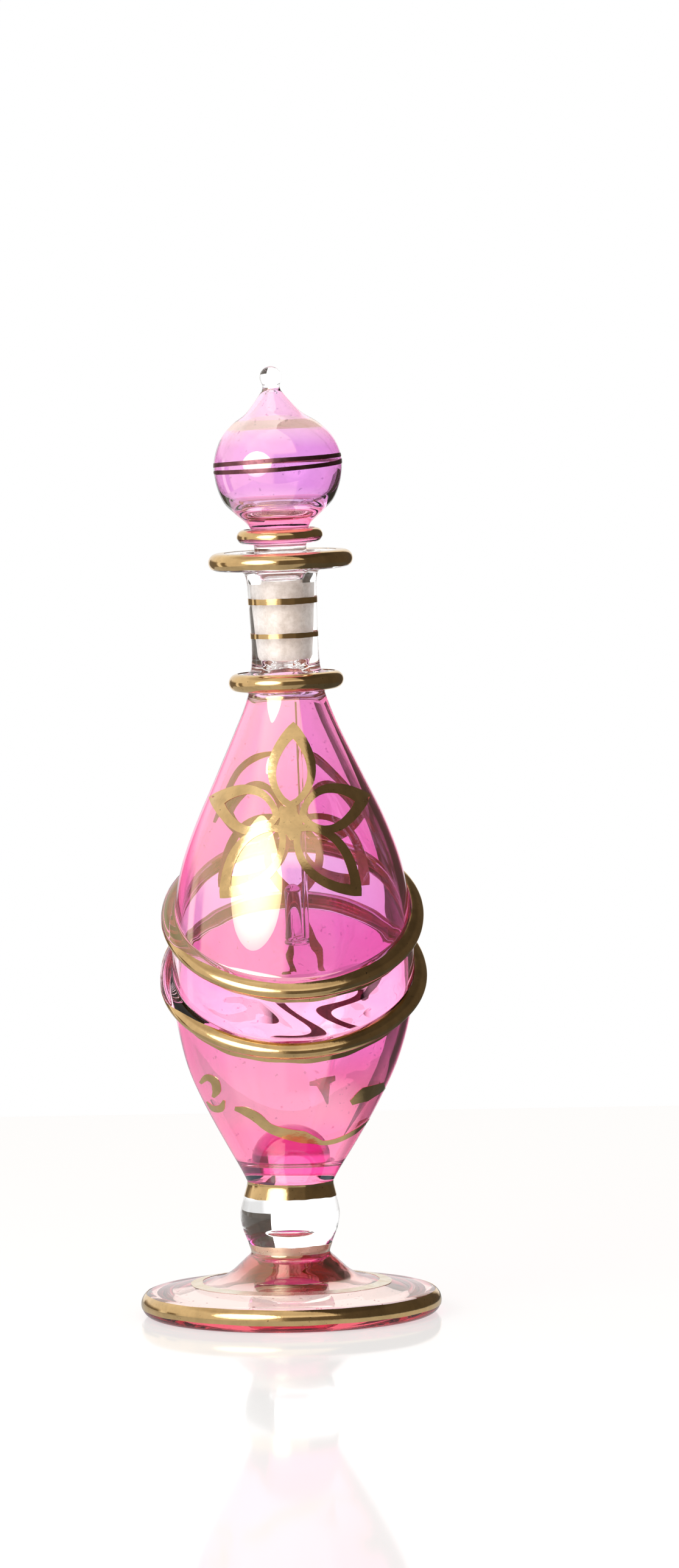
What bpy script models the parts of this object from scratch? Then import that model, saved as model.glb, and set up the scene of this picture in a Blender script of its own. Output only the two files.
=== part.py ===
"""A mouth-blown glass perfume bottle on a foot, with a ground stopper that carries a dauber.

The bottle is worked hot from separate pieces of tube and rod: a foot, a solid stem with a
knop, a blown vessel with two slanting rings laid round it, a neck with a ground socket, and a
ring at each end of the neck. The stopper is worked the same way: a drop, a blown bulb, a
ring, a plug ground to fit the socket, and a drawn rod that ends in a short thick tip.
Outlines are (radius, height) in millimetres, from the middle of the foot's underside.
"""

import math

import bmesh
import bpy
import numpy as np

MM = 0.001
GAP = 0.3  # between neighbouring pieces of glass
MERGE_LIMIT = 1e-5

# Heights where one piece of glass meets the next
FOOT_TOP = 10.6
KNOP_TOP = 22.3
NECK_BASE = 105.9
LIP_TOP = 129.2
RING_SEAT = 130.7
BULB_BASE = 133.1
BULB_TOP = 156.5
DROP_TOP = 160.4

# Foot
FOOT_RADIUS = 25.5
RIM_HEIGHT = 4.2
RIM_WIDTH = 2.0
RIM_FLAT_INSIDE = 21.9  # the underside stands on a flat ring from here to the rim
STEM_RADIUS = 3.4  # where the stem passes through the foot
HUB_END = 0.8  # underside of the hub at the stem's lower end

# Vessel
VESSEL_WALL = 1.25
DOME_RADIUS = 6.3  # the base is pushed up over the round top of the stem
DOME_TOP = 31.2
DOME_SPRING = KNOP_TOP + 2.6  # the dome's side is straight below this

# Slanting rings, low at the front and high at the back
RING_TILT = math.radians(29.0)
RING_CENTRES = {"upper_slant_ring": 68.5, "lower_slant_ring": 57.5}
RING_DEPTH = 2.3  # half depth of the oval section, in the ring's plane
RING_HEIGHT = 1.45  # half height of the section, square to that plane
RING_PROUD = 2.1  # how far the nose of the ring stands out of the vessel

# Turned rings: inner radius, outer radius, underside and top
COLLAR = (6.25, 9.65, 106.0, 108.8)
LIP = (6.6, 12.1, 126.3, LIP_TOP)
STOPPER_RING = (4.75, 7.2, RING_SEAT, 133.0)

# Neck and ground joint: a taper of about 1 in 12 on the diameter
NECK_RADIUS = 5.75
SOCKET_TOP = 124.2
SOCKET_END = 111.4
PLUG_TOP_RADIUS = 3.35
PLUG_END_RADIUS = 2.85
PLUG_END = 110.2
THROAT_RADIUS = 2.7

# Rod and dauber: the rod runs down beside the thick tip, and both end in one flared pad
ROD_RADIUS = 0.45
ROD_OFFSET = 1.75
TIP_RADIUS = 1.35
TIP_OFFSET = -0.35
TIP_TOP = 71.8
PAD_RADIUS = 2.15
PAD_OFFSET = 0.1
PAD_TOP = 63.5
PAD_END = 62.6

BULB_WALL = 0.8
BULB_FLOOR = 136.0  # the bulb's waist is solid below this

# The axis of a hand-made bottle drifts: it bows to +X up to the shoulder, then leans back
DRIFT = 1.25
DRIFT_START, DRIFT_END = 12.0, 60.0
LEAN = 0.024  # sideways per unit of height above the shoulder, 1.4 degrees
LEAN_START, LEAN_END = 84.0, 98.0

FOOT_STEPS = 40  # segments round the foot and the lip ring
BODY_STEPS = 34  # segments round the vessel and its rings
NECK_STEPS = 28  # segments round the neck and the stopper
ROD_STEPS = 16


def smoothstep(value, start, end):
    share = min(max((value - start) / (end - start), 0.0), 1.0)
    return share * share * (3 - 2 * share)


def axis_drift(height):
    """How far the bottle's axis stands to +X at a height, in millimetres."""
    bend = min(max(height - LEAN_START, 0.0), LEAN_END - LEAN_START)
    straight = max(height - LEAN_END, 0.0)
    leaned = LEAN * (bend * bend / (2 * (LEAN_END - LEAN_START)) + straight)
    return DRIFT * smoothstep(height, DRIFT_START, DRIFT_END) - leaned


def smooth_line(points, spans=2):
    """A Catmull-Rom line through the points, with each stretch cut into spans."""
    knots = [np.array(point, float) for point in points]
    knots = [2 * knots[0] - knots[1]] + knots + [2 * knots[-1] - knots[-2]]
    line = []
    for a, b, c, d in zip(knots, knots[1:], knots[2:], knots[3:]):
        for t in np.arange(spans) / spans:
            bend = (2 * a - 5 * b + 4 * c - d) * t**2 + (3 * b - a - 3 * c + d) * t**3
            line.append(tuple(0.5 * (2 * b + (c - a) * t + bend)))
    return line + [tuple(points[-1])]


def arc(radius, height, across, up, start, end, steps):
    """Points of an oval arc about (radius, height), from start to end in degrees."""
    angles = np.radians(np.linspace(start, end, steps + 1))
    return [(radius + across * math.cos(a), height + up * math.sin(a)) for a in angles]


def inner_skin(side, wall):
    """A line drawn a wall's thickness inside the outer side, from its top down."""
    side = np.array(side)
    slope = np.gradient(side, axis=0)
    away = np.stack([-slope[:, 1], slope[:, 0]], axis=1)
    away /= np.linalg.norm(away, axis=1)[:, None]
    return [tuple(point) for point in side - wall * away]


def new_material(name, colour, roughness=0.03, metallic=0.0, transmission=1.0):
    material = bpy.data.materials.new(name)
    material.use_nodes = True
    shader = material.node_tree.nodes["Principled BSDF"]
    shader.inputs["Base Color"].default_value = (*colour, 1.0)
    shader.inputs["Roughness"].default_value = roughness
    shader.inputs["Metallic"].default_value = metallic
    shader.inputs["Transmission Weight"].default_value = transmission
    material.diffuse_color = (*colour, 1.0)
    return material


def add_object(name, data, material, collection):
    obj = bpy.data.objects.new(name, data)
    data.materials.clear()
    data.materials.append(material)
    collection.objects.link(obj)
    return obj


def add_axis(name, height, collection):
    """An empty on the leaning axis of the neck and the stopper, at a height."""
    empty = bpy.data.objects.new(name, None)
    empty.location = (axis_drift(height) * MM, 0.0, height * MM)
    empty.rotation_euler.y = -math.atan(LEAN)
    collection.objects.link(empty)
    return empty


def turned(name, outline, material, collection, steps, closed=False, axis=None):
    """Turns an outline round Z, or round a leaning axis. It runs down its outer side first."""
    base = axis.location.z if axis else 0.0
    mesh = bpy.data.meshes.new(name)
    edges = [(i, i + 1) for i in range(len(outline) - 1)]
    if closed:
        edges.append((len(outline) - 1, 0))
    edges = [(i, j) for i, j in edges if outline[i][0] or outline[j][0]]  # none along the axis
    mesh.from_pydata([(r * MM, 0.0, z * MM - base) for r, z in outline], edges, [])
    obj = add_object(name, mesh, material, collection)
    obj.parent = axis
    screw = obj.modifiers.new("Turn", "SCREW")
    screw.steps = steps
    screw.render_steps = steps
    screw.use_merge_vertices = True
    screw.merge_threshold = MERGE_LIMIT
    return obj


def as_mesh(obj):
    """Replaces an object by the mesh that its modifiers or its curve make."""
    name, parent, collection = obj.name, obj.parent, obj.users_collection[0]
    bpy.context.view_layer.update()
    graph = bpy.context.evaluated_depsgraph_get()
    mesh = bpy.data.meshes.new_from_object(obj.evaluated_get(graph))
    mesh.transform(obj.matrix_basis)
    material = mesh.materials[0]
    bpy.data.objects.remove(obj)
    shape = bmesh.new()
    shape.from_mesh(mesh)
    bmesh.ops.remove_doubles(shape, verts=shape.verts, dist=MERGE_LIMIT)
    shape.to_mesh(mesh)
    shape.free()
    mesh.name = name
    made = add_object(name, mesh, material, collection)
    made.parent = parent
    return made


def bend_to_axis(obj):
    """Moves each level of a piece sideways to where the hand-made axis is at that height."""
    for vertex in obj.data.vertices:
        vertex.co.x += axis_drift(vertex.co.z / MM) * MM


def shade(obj):
    obj.data.shade_smooth()
    obj.data.set_sharp_from_angle(angle=math.radians(40))


def make_foot(glass, collection):
    """A trumpet foot, hollow underneath, whose edge is rolled into a bead."""
    bead_middle = FOOT_RADIUS - RIM_WIDTH
    half = RIM_HEIGHT / 2
    top = smooth_line(
        [
            (6.7, FOOT_TOP - GAP), (8.1, 9.1), (10.4, 7.1), (13.0, 6.0), (18.5, 5.1),
            (bead_middle, RIM_HEIGHT),
        ]
    )
    bead = arc(bead_middle, half, RIM_WIDTH, half, 62, -90, 6)
    hollow = [(RIM_FLAT_INSIDE, 0.0), (20.3, 1.7), (14.0, 3.2), (9.6, 5.2), (6.7, 7.5), (4.6, 8.8)]
    hole = STEM_RADIUS + GAP
    outline = top + bead + hollow + [(hole, 9.1), (hole, FOOT_TOP - GAP)]
    return turned("foot", outline, glass, collection, FOOT_STEPS, closed=True)


def make_stem(glass, collection):
    """The solid stem: a round top inside the vessel's base, a knop, and a hub in the foot."""
    inside = DOME_RADIUS - VESSEL_WALL - GAP
    under = DOME_TOP - VESSEL_WALL - GAP
    dome = arc(0.0, DOME_SPRING, inside, under - DOME_SPRING, 90, 0, 4)
    knop = smooth_line(
        [
            (7.3, KNOP_TOP), (7.75, 20.3), (8.4, 17.3), (8.05, 14.8), (7.15, 12.4),
            (6.6, FOOT_TOP),
        ]
    )
    neck = [(STEM_RADIUS, FOOT_TOP), (STEM_RADIUS, 5.9)]
    hub = arc(5.0, 4.0, 1.4, 1.5, 90, 0, 3) + arc(5.0, 2.2, 1.4, 1.4, 0, -90, 3)
    outline = dome + [(inside, KNOP_TOP)] + knop + neck + hub + [(0.0, HUB_END)]
    return turned("stem_knop", outline, glass, collection, NECK_STEPS)


def vessel_side(spans=2):
    """The vessel's outer side, from under the neck to where it sits on the knop."""
    return smooth_line(
        [
            (6.45, NECK_BASE - GAP), (7.1, 103.4), (9.0, 98.8), (12.45, 91.3), (15.9, 83.9),
            (18.6, 76.2), (20.15, 67.5), (20.5, 60.0), (20.1, 52.5), (17.9, 43.1),
            (14.6, 35.7), (10.4, 28.2), (8.0, 24.2), (7.25, KNOP_TOP + GAP),
        ],
        spans,
    )


def vessel_radius(height):
    side = vessel_side()[::-1]
    return float(np.interp(height, [z for _, z in side], [r for r, _ in side]))


def make_vessel(glass, collection):
    """The blown vessel: open at its top, with its base pushed up over the stem."""
    inside = inner_skin(vessel_side(spans=1)[:-1], VESSEL_WALL)
    rise = DOME_TOP - DOME_SPRING
    dome = arc(0.0, DOME_SPRING, DOME_RADIUS, rise, 0, 90, 5)
    thin = VESSEL_WALL
    under = arc(0.0, DOME_SPRING, DOME_RADIUS - thin, rise - thin, 0, 90, 5)
    under = [(DOME_RADIUS - thin, KNOP_TOP + GAP)] + under
    outline = vessel_side() + under + dome[::-1] + inside[::-1]
    return turned("vessel", outline, glass, collection, BODY_STEPS, True)


def ring_path(centre_height, inset):
    """The line where the ring's plane cuts the vessel, in that plane, drawn in by inset."""
    points = []
    for step in range(BODY_STEPS):
        angle = 2 * math.pi * step / BODY_STEPS
        across, along = math.cos(angle), math.sin(angle)
        level = math.hypot(across, along * math.cos(RING_TILT))
        reach = vessel_radius(centre_height)
        for _ in range(40):
            height = centre_height + reach * along * math.sin(RING_TILT)
            reach = 0.5 * reach + 0.5 * vessel_radius(height) / level
        points.append(((reach - inset) * across, (reach - inset) * along))
    return points


def closed_line(name, points, collection):
    """A flat closed curve through the points, in millimetres."""
    curve = bpy.data.curves.new(name, "CURVE")
    curve.dimensions = "2D"
    spline = curve.splines.new("POLY")
    spline.points.add(len(points) - 1)
    for point, (x, y) in zip(spline.points, points):
        point.co = (x * MM, y * MM, 0.0, 1.0)
    spline.use_cyclic_u = True
    obj = bpy.data.objects.new(name, curve)
    collection.objects.link(obj)
    return obj


def make_slant_ring(name, centre_height, glass, collection, cutters):
    """A ring of glass laid round the vessel at a slant and seated on the vessel's side."""
    section = closed_line(
        name + "_section", arc(0.0, 0.0, RING_DEPTH, RING_HEIGHT, 0, 360, 12)[:-1], cutters
    )
    section.hide_render = True
    ring = closed_line(name, ring_path(centre_height, RING_DEPTH - RING_PROUD), collection)
    ring.data.bevel_mode = "OBJECT"
    ring.data.bevel_object = section
    ring.data.materials.append(glass)
    ring.location.z = centre_height * MM
    ring.rotation_euler.x = RING_TILT
    ring = as_mesh(ring)

    side = [(r + GAP, z) for r, z in vessel_side()]
    outline = [(0.0, side[0][1])] + side + [(0.0, side[-1][1])]
    cutter = turned(name + "_seat", outline, glass, cutters, BODY_STEPS)
    cutter.hide_render = True
    cutter.display_type = "WIRE"
    cut = ring.modifiers.new("Seat on the vessel", "BOOLEAN")
    cut.operation = "DIFFERENCE"
    cut.object = cutter
    return ring


def make_ring(name, sizes, glass, collection, steps, axis):
    """A turned ring with a round nose and a straight inner side."""
    inside, outside, low, high = sizes
    half = (high - low) / 2
    nose = arc(outside - half, low + half, half, half, 90, -90, 8)
    outline = nose + [(inside, low), (inside, high)]
    return turned(name, outline, glass, collection, steps, closed=True, axis=axis)


def make_neck(glass, collection, axis):
    """A thick tube with a flared mouth, a ground socket and a narrow throat under it."""
    outside = [
        (6.25, LIP_TOP), (6.2, 126.5), (5.85, 124.4), (NECK_RADIUS, 122.0),
        (NECK_RADIUS - 0.1, 115.0), (NECK_RADIUS, 109.5), (5.9, NECK_BASE),
    ]
    throat = smooth_line(
        [(4.6, NECK_BASE), (THROAT_RADIUS + 0.3, 107.6), (THROAT_RADIUS, 109.3)]
    )
    socket = [
        (PLUG_END_RADIUS + GAP, SOCKET_END), (PLUG_TOP_RADIUS + GAP, SOCKET_TOP)
    ]
    mouth = smooth_line([(4.15, 125.6), (4.75, 127.3), (5.3, LIP_TOP)])
    outline = outside + throat + [(THROAT_RADIUS, SOCKET_END - 1.2)] + socket + mouth
    return turned("neck", outline, glass, collection, NECK_STEPS, closed=True, axis=axis)


def make_plug(glass, collection, axis):
    """The stopper's solid shank: ground to the socket's taper, with a round clear end."""
    shank = smooth_line(
        [(4.4, RING_SEAT - GAP), (4.4, 128.6), (4.15, 126.7), (3.7, 125.3)]
    )
    end = arc(0.0, PLUG_END + 1.2, PLUG_END_RADIUS, 1.2, 0, -90, 5)
    outline = [(0.0, RING_SEAT - GAP)] + shank + [(PLUG_TOP_RADIUS, SOCKET_TOP)] + end
    return turned("ground_plug", outline, glass, collection, NECK_STEPS, axis=axis)


def make_bulb(glass, collection, axis):
    """The blown onion-shaped head of the stopper, solid at its waist and open at its tip."""
    base = BULB_BASE + GAP
    head = [
        (1.5, BULB_TOP), (2.5, 155.1), (4.6, 152.6), (7.2, 150.8), (9.4, 148.4),
        (10.7, 144.9), (10.55, 141.2), (9.3, 137.8),
    ]
    waist = [(6.6, 135.1), (4.95, base)]
    hollow = inner_skin(head, BULB_WALL)
    floor = [(4.6, BULB_FLOOR + 0.2), (0.0, BULB_FLOOR)]
    outline = smooth_line(head + waist) + [(0.0, base)] + (hollow + floor)[::-1]
    return turned("stopper_bulb", outline, glass, collection, NECK_STEPS, True, axis)


def make_drop(glass, collection, axis):
    """The solid drop of clear glass that closes the bulb."""
    size = (DROP_TOP - BULB_TOP - GAP) / 2 + 0.05
    ball = arc(0.0, DROP_TOP - size, size, size, 90, -50, 7)
    outline = ball + [(1.3, BULB_TOP + GAP), (0.0, BULB_TOP + GAP)]
    return turned("finial_drop", outline, glass, collection, ROD_STEPS, axis=axis)


def make_rod(glass, collection, axis):
    """The drawn rod that hangs from one side of the plug's end."""
    curve = bpy.data.curves.new("dauber_rod", "CURVE")
    curve.dimensions = "3D"
    curve.bevel_depth = ROD_RADIUS * MM
    curve.bevel_resolution = 2
    curve.use_fill_caps = True
    spline = curve.splines.new("POLY")
    heights = (PLUG_END - GAP, PAD_TOP + GAP)
    spline.points.add(1)
    for point, height in zip(spline.points, heights):
        point.co = (ROD_OFFSET * MM, 0.0, height * MM - axis.location.z, 1.0)
    rod = add_object("dauber_rod", curve, glass, collection)
    rod.parent = axis
    return rod


def make_tip(glass, collection, axis):
    """The thick round-topped tip beside the rod, standing on a flared pad."""
    top = arc(0.0, TIP_TOP - TIP_RADIUS, TIP_RADIUS, TIP_RADIUS, 90, 0, 5)
    flare = smooth_line(
        [(TIP_RADIUS, PAD_TOP + 0.9), (TIP_RADIUS + 0.05, PAD_TOP + 0.3), (1.6, PAD_TOP)]
    )
    pad = arc(PAD_RADIUS - 0.4, (PAD_TOP + PAD_END) / 2, 0.4, 0.45, 90, -90, 4)
    outline = top + flare + pad + [(0.0, PAD_END)]
    tip = as_mesh(turned("dauber_tip", outline, glass, collection, ROD_STEPS, axis=axis))
    for vertex in tip.data.vertices:
        height = (vertex.co.z + axis.location.z) / MM
        share = smoothstep(height, PAD_TOP - 0.1, PAD_TOP + 0.3)
        vertex.co.x += (PAD_OFFSET + (TIP_OFFSET - PAD_OFFSET) * share) * MM
    return tip


def main():
    for obj in list(bpy.data.objects):
        bpy.data.objects.remove(obj)
    parts = bpy.data.collections.new("perfume_bottle")
    cutters = bpy.data.collections.new("cutters")
    bpy.context.scene.collection.children.link(parts)
    bpy.context.scene.collection.children.link(cutters)
    neck_axis = add_axis("neck_axis", NECK_BASE, parts)
    stopper_axis = add_axis("stopper_axis", RING_SEAT, parts)

    pink = new_material("pink_glass", (0.93, 0.36, 0.66))
    violet = new_material("violet_glass", (0.85, 0.45, 0.85))
    clear = new_material("clear_glass", (0.98, 0.98, 0.97))
    ground = new_material("ground_glass", (0.86, 0.82, 0.79), roughness=0.6)
    gold = new_material("gilding", (0.83, 0.61, 0.22), 0.12, metallic=1.0, transmission=0.0)

    bowed = [
        make_foot(pink, parts),
        make_stem(clear, parts),
        make_vessel(pink, parts),
    ]
    bowed += [
        make_slant_ring(name, height, gold, parts, cutters)
        for name, height in RING_CENTRES.items()
    ]
    for obj in bowed:
        bend_to_axis(as_mesh(obj))

    make_neck(clear, parts, neck_axis)
    make_ring("neck_collar", COLLAR, gold, parts, BODY_STEPS, neck_axis)
    make_ring("lip_ring", LIP, gold, parts, FOOT_STEPS, neck_axis)

    make_drop(clear, parts, stopper_axis)
    make_bulb(violet, parts, stopper_axis)
    make_ring("stopper_ring", STOPPER_RING, gold, parts, NECK_STEPS, stopper_axis)
    make_plug(ground, parts, stopper_axis)
    make_rod(clear, parts, stopper_axis)
    make_tip(clear, parts, stopper_axis)
    for obj in list(parts.objects):
        if obj.type != "EMPTY":
            shade(as_mesh(obj))


main()
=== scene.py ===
"""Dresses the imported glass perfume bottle: blown and lustred glass, gilding and a pale studio."""

import math

import bpy
import numpy as np
from mathutils import Matrix, Vector


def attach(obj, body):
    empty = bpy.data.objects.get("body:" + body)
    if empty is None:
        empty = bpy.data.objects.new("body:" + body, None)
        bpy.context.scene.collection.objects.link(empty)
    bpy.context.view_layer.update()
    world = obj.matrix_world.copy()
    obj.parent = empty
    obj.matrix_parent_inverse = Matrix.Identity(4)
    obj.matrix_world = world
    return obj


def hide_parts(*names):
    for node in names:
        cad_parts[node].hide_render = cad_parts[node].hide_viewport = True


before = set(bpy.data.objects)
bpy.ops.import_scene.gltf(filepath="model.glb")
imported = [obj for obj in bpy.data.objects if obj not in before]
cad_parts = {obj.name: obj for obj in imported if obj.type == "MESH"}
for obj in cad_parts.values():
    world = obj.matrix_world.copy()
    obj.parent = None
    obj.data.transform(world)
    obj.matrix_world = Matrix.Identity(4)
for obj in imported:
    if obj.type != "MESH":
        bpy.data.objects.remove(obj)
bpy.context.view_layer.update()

bl_info = {
    "name": "Glass Perfume Bottle",
    "version": (1, 0, 0),
    "blender": (4, 5, 0),
    "location": "3D View > Sidebar > Perfume Bottle",
    "description": "Builds the visible glass, lustre, gilding and studio of a perfume bottle",
    "category": "Object",
}

MM = 0.001
FRONT = -math.pi / 2  # the angle round the axis that faces the camera
BACK = math.pi / 2

# The hand-made axis, in millimetres: it bows to +X up to the shoulder, then leans back
DRIFT = 1.25
DRIFT_START, DRIFT_END = 12.0, 60.0
LEAN = 0.024
LEAN_START, LEAN_END = 84.0, 98.0
TILT_START, TILT_END = 99.0, 104.0  # above this the turned rings are square to the axis
STOPPER_SEAT = 130.7

# Slanting rings: levels on the axis, oval section, and the stretch that is cut at a slant
RING_TILT = math.radians(29.0)
RING_LOW, RING_HIGH = 57.5, 68.5
RING_DEPTH, RING_HALF_HEIGHT, RING_INSET = 2.3, 1.45, 0.2
RING_FLANK = 4.0  # how steeply a ring's edge and its gold run down into the vessel
RING_FILLET = 0.45
RING_BURIED = 1.5  # deeper inside the vessel than this a section is left as it is
SLANT_FROM, SLANT_LOW, SLANT_HIGH, SLANT_TO = 27.5, 52.0, 75.0, 99.5
SLANT_PASSES = 40

# Turned rings, each an oval section: radius, height, half width and half height
FOOT_RIM = (23.38, 2.1, 2.0, 2.1)
COLLAR = (8.25, 107.4, 1.4, 1.4)
LIP = (10.65, 127.75, 1.45, 1.45)
STOPPER_RING = (6.05, 131.85, 1.15, 1.15)

VESSEL_WALL = 1.35
DOME_TOP = 32.5
ROD_RADIUS, ROD_OFFSET = 0.47, 1.75
BULB_BEND = 0.5  # how far the pointed end of the bulb is bent to -X
FOIL_UNDER, FOIL_OVER, PAINT_OVER = 0.02, 0.07, 0.08  # the sides of gold, above the glass

BULB_SIDE = [
    (7.4, 135.8), (9.3, 137.8), (10.55, 141.2), (10.7, 144.9), (9.4, 148.4), (7.2, 150.8),
    (4.6, 152.6), (2.5, 155.1), (1.6, 156.3),
]
BULB_HOLLOW = [
    (2.5, 136.1), (4.8, 136.3), (6.9, 137.1), (8.8, 138.8), (9.95, 141.6), (10.15, 144.8),
    (8.9, 148.0), (6.8, 150.3), (4.2, 152.2), (2.0, 154.7), (0.7, 156.0),
]
VESSEL_SIDE = [
    (7.25, 22.6), (8.0, 24.2), (10.4, 28.2), (14.6, 35.7), (17.9, 43.1), (20.1, 52.5),
    (20.5, 60.0), (20.15, 67.5), (18.6, 76.2), (15.9, 83.9), (12.45, 91.3), (9.0, 98.8),
    (7.1, 103.4), (6.45, 105.6),
]

# Brush strokes on the vessel: flat places (across, up), then widths along the stroke
FRONT_STROKES = [
    ([(-9.5, 36.4), (-7.7, 36.0), (-5.7, 34.9), (-3.7, 33.2), (-0.8, 32.1), (2.1, 31.4),
      (5.4, 30.2)], [0.7, 1.6, 1.8, 1.6, 1.9, 2.2, 0.6]),
    ([(2.6, 30.9), (5.2, 30.2), (7.7, 30.4), (10.6, 31.5), (13.2, 33.1)],
     [0.3, 0.8, 0.9, 0.9, 0.2]),
    ([(-15.4, 40.2), (-14.2, 41.5), (-12.9, 40.9), (-12.6, 39.4), (-13.2, 38.0)],
     [0.5, 1.2, 1.5, 1.5, 0.5]),
    ([(-14.3, 36.9), (-13.2, 35.9), (-11.9, 36.2), (-11.3, 37.7)], [0.3, 1.2, 1.3, 0.4]),
    ([(9.9, 37.0), (12.3, 38.2), (15.6, 39.0)], [0.9, 2.8, 1.6]),
]
BACK_STROKES = [
    ([(-1.6, 95.3), (-5.0, 93.7), (-8.3, 91.0), (-12.2, 87.2), (-15.4, 81.5)],
     [0.6, 1.7, 1.7, 1.5, 0.6]),
    ([(2.4, 94.7), (6.3, 94.1), (9.2, 92.6), (11.0, 90.4), (12.6, 87.2), (14.4, 83.6)],
     [0.6, 1.3, 1.4, 1.4, 1.5, 0.6]),
    ([(1.0, 53.6), (0.6, 58.0), (-0.3, 63.0)], [0.9, 1.5, 0.3]),
    ([(-5.2, 54.2), (-4.2, 59.5), (-2.0, 66.0)], [0.8, 1.6, 0.5]),
    ([(-3.0, 37.6), (-5.2, 37.9), (-7.6, 38.5)], [0.9, 1.8, 1.0]),
    ([(-5.4, 37.8), (-6.0, 36.2), (-6.5, 34.2)], [2.6, 1.6, 0.3]),
]
# Petals of each flower: direction in degrees, and length where an upright one has 15.5
FRONT_PETALS = ((86, 15.8), (12, 13.9), (168, 13.9), (-48, 17.6), (228, 17.6))
BACK_PETALS = ((4, 13.8), (176, 13.8), (-42, 18.5), (222, 18.5), (-90, 16.0))
UPRIGHT_PETAL = 15.5
HEART_RADIUS = 1.9

# Studio
FLOOR_HALF = 0.3
CARD_REACH, CARD_TALL = 0.14, 0.122
SOFTBOX_SIZE, SOFTBOX_RADIANCE = (0.32, 0.27), 4.2
SOFTBOX_REACH, SOFTBOX_HEIGHT, SOFTBOX_AROUND = 0.3, 0.187, math.radians(-37)
CAMERA_PLACE = (0.00958, -1.3, 0.183)
CAMERA_DIP, CAMERA_ROLL, CAMERA_LENS = math.radians(4.1), math.radians(-0.95), 177.36


def smoothstep(value, start, end):
    share = np.clip((np.asarray(value, float) - start) / (end - start), 0.0, 1.0)
    return share * share * (3 - 2 * share)


def unit(vectors):
    return vectors / np.maximum(np.linalg.norm(vectors, axis=-1, keepdims=True), 1e-9)


def full_turn(steps):
    return np.linspace(0, 2 * math.pi, steps, endpoint=False)


def axis_drift(height):
    """How far the bottle's axis stands to +X at a height."""
    height = np.asarray(height, float)
    bend = np.clip(height - LEAN_START, 0.0, LEAN_END - LEAN_START)
    straight = np.maximum(height - LEAN_END, 0.0)
    leaned = LEAN * (bend * bend / (2 * (LEAN_END - LEAN_START)) + straight)
    return DRIFT * smoothstep(height, DRIFT_START, DRIFT_END) - leaned


def stopper_drift(height):
    """The straight leaning axis of the stopper, which its dauber follows down too."""
    return axis_drift(STOPPER_SEAT) - LEAN * (np.asarray(height, float) - STOPPER_SEAT)


def smooth_line(points, spans=6):
    """A Catmull-Rom line through the points, with each stretch cut into spans."""
    knots = [np.array(point, float) for point in points]
    knots = [2 * knots[0] - knots[1]] + knots + [2 * knots[-1] - knots[-2]]
    line = []
    for a, b, c, d in zip(knots, knots[1:], knots[2:], knots[3:]):
        for t in np.arange(spans) / spans:
            bend = (2 * a - 5 * b + 4 * c - d) * t**2 + (3 * b - a - 3 * c + d) * t**3
            line.append(0.5 * (2 * b + (c - a) * t + bend))
    return np.array(line + [knots[-2]])


def arc(radius, height, across, up, start, end, steps):
    """Points of an oval arc about (radius, height), from start to end in degrees."""
    angles = np.radians(np.linspace(start, end, steps + 1))
    return np.stack([radius + across * np.cos(angles), height + up * np.sin(angles)], axis=1)


def evened(table, blur):
    """Smooths a table of values that end on both sides where they did."""
    pad = 3 * blur
    kernel = np.exp(-0.5 * (np.arange(-pad, pad + 1) / blur) ** 2)
    kernel /= kernel.sum()
    low = 2 * table[0] - table[1:pad + 1][::-1]
    high = 2 * table[-1] - table[-pad - 1:-1][::-1]
    return np.convolve(np.concatenate([low, table, high]), kernel, "valid")


SIDE_HEIGHTS = np.linspace(VESSEL_SIDE[0][1], VESSEL_SIDE[-1][1], 420)
SIDE_LINE = smooth_line(VESSEL_SIDE, 12)
SIDE_RADII = evened(np.interp(SIDE_HEIGHTS, SIDE_LINE[:, 1], SIDE_LINE[:, 0]), 7)


def vessel_radius(height):
    return np.interp(height, SIDE_HEIGHTS, SIDE_RADII)


def vessel_line(start, end, count):
    heights = np.linspace(start, end, count)
    return np.stack([vessel_radius(heights), heights], axis=1)


def round_axis(outline, angles, drift=axis_drift):
    """Turns an outline of (radius, height) round the hand-made axis: rows of points."""
    outline = np.asarray(outline, float)
    radius, height = outline[:, :1], outline[:, 1:]
    lean = LEAN * smoothstep(height, TILT_START, TILT_END) if drift is axis_drift else LEAN
    across = radius * np.cos(angles)
    return np.stack(
        [drift(height) + across, radius * np.sin(angles), height + across * lean], axis=-1
    )


def slanted(level, angles):
    """Points (x, y, height) where a slanting cut at this level meets the vessel."""
    share = smoothstep(level, SLANT_FROM, SLANT_LOW) * smoothstep(-level, -SLANT_TO, -SLANT_HIGH)
    height = np.full_like(angles, level, dtype=float)
    for _ in range(SLANT_PASSES):
        reach = vessel_radius(height) * np.sin(angles)
        height = 0.5 * height + 0.5 * (level + share * math.tan(RING_TILT) * reach)
    radius = vessel_radius(height)
    return np.stack([radius * np.cos(angles), radius * np.sin(angles), height], axis=-1)


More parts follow.
